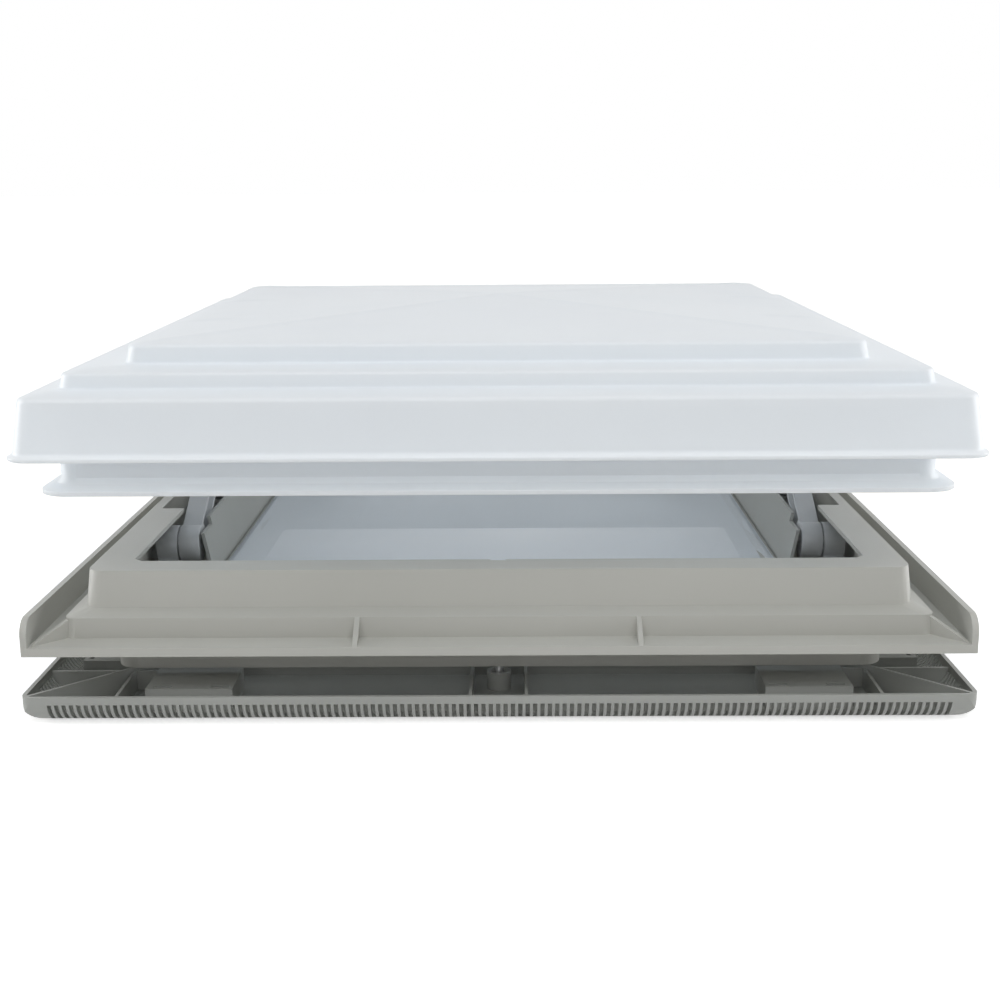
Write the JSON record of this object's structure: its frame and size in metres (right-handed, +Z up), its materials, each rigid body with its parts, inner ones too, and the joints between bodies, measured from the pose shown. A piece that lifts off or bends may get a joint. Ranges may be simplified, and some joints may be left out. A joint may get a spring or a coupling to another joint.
{
  "type": "roof hatch",
  "caption": "Square roof hatch for a caravan, with a white double-skin lid on crossing friction arms, an outer frame, a louvred ceiling trim and a fly screen.",
  "frame": {"origin": "middle of the hatch, at the underside of the ceiling trim", "axes": "+Z up from the ceiling to the lid's apex, +X to the right and +Y to the rear, away from the picture's camera"},
  "size_m": [0.474, 0.474, 0.193],
  "materials": {
    "frame_abs": "satin moulded ABS, warm light grey",
    "trim_abs": "satin moulded ABS, mid grey",
    "lid_white": "smooth white moulding, soft gloss",
    "lid_inner_white": "smooth white moulding, soft gloss",
    "arm_grey": "glass-filled nylon, satin",
    "seal_foam": "closed-cell foam rubber",
    "steel": "zinc-plated steel",
    "stainless": "bright stainless steel",
    "roller_acetal": "natural acetal",
    "net": "woven polyester fly net, pale blue-grey",
    "handle_grey": "satin moulded ABS, mid grey"
  },
  "bodies": {
    "hatch_base": {"outer_frame": "frame_abs", "ceiling_trim": "trim_abs", "fixing_screws": "steel", "screw_caps": "trim_abs", "pivot_pins": "steel", "friction_washers": "stainless", "pivot_bracket_screws": "steel", "flyscreen_hinge_pins": "stainless", "flyscreen_clips": "stainless", "pivot_bracket_front_left": "arm_grey", "pivot_bracket_front_right": "arm_grey", "pivot_bracket_rear_left": "arm_grey", "pivot_bracket_rear_right": "arm_grey"},
    "lid": {"lid_outer_shell": "lid_white", "lid_inner_shell": "lid_inner_white", "lid_seal": "seal_foam", "lid_bracket_screws": "steel", "pull_handle_front": "handle_grey", "pull_handle_rear": "handle_grey", "handle_screws": "steel", "lid_bracket_front_left": "arm_grey", "lid_bracket_front_right": "arm_grey", "lid_bracket_rear_left": "arm_grey", "lid_bracket_rear_right": "arm_grey"},
    "flyscreen": {"flyscreen_frame": "trim_abs", "flyscreen_mesh": "net", "flyscreen_tab": "handle_grey"},
    "arm_front_left": {"arm_front_left": "arm_grey", "arm_end_pin_front_left": "steel", "arm_roller_front_left": "roller_acetal"},
    "arm_front_right": {"arm_front_right": "arm_grey", "arm_end_pin_front_right": "steel", "arm_roller_front_right": "roller_acetal"},
    "arm_rear_left": {"arm_rear_left": "arm_grey", "arm_end_pin_rear_left": "steel", "arm_roller_rear_left": "roller_acetal"},
    "arm_rear_right": {"arm_rear_right": "arm_grey", "arm_end_pin_rear_right": "steel", "arm_roller_rear_right": "roller_acetal"}
  },
  "joints": [
    {"name": "lid_lift", "type": "slide", "parent": "hatch_base", "child": "lid", "axis": [0, 0, 1], "range_m": [-0.061, 0]},
    {"name": "flyscreen_hinge", "type": "hinge", "parent": "hatch_base", "child": "flyscreen", "pos_m": [0, 0.16, 0.034], "axis": [1, 0, 0], "range_deg": [0, 85]},
    {"name": "arm_turn_front_left", "type": "hinge", "parent": "hatch_base", "child": "arm_front_left", "pos_m": [-0.182, -0.082, 0.054], "axis": [1, 0, 0], "range_deg": [-20.6, 0]},
    {"name": "arm_turn_front_right", "type": "hinge", "parent": "hatch_base", "child": "arm_front_right", "pos_m": [0.182, -0.082, 0.054], "axis": [1, 0, 0], "range_deg": [-20.6, 0]},
    {"name": "arm_turn_rear_left", "type": "hinge", "parent": "hatch_base", "child": "arm_rear_left", "pos_m": [-0.182, 0.082, 0.054], "axis": [1, 0, 0], "range_deg": [0, 20.6]},
    {"name": "arm_turn_rear_right", "type": "hinge", "parent": "hatch_base", "child": "arm_rear_right", "pos_m": [0.182, 0.082, 0.054], "axis": [1, 0, 0], "range_deg": [0, 20.6]}
  ],
  "couplings": [
    {"joint": "arm_turn_front_left", "follows": "lid_lift", "rad_per_m": 5.869},
    {"joint": "arm_turn_front_right", "follows": "lid_lift", "rad_per_m": 5.869},
    {"joint": "arm_turn_rear_left", "follows": "lid_lift", "rad_per_m": -5.869},
    {"joint": "arm_turn_rear_right", "follows": "lid_lift", "rad_per_m": -5.869}
  ]
}
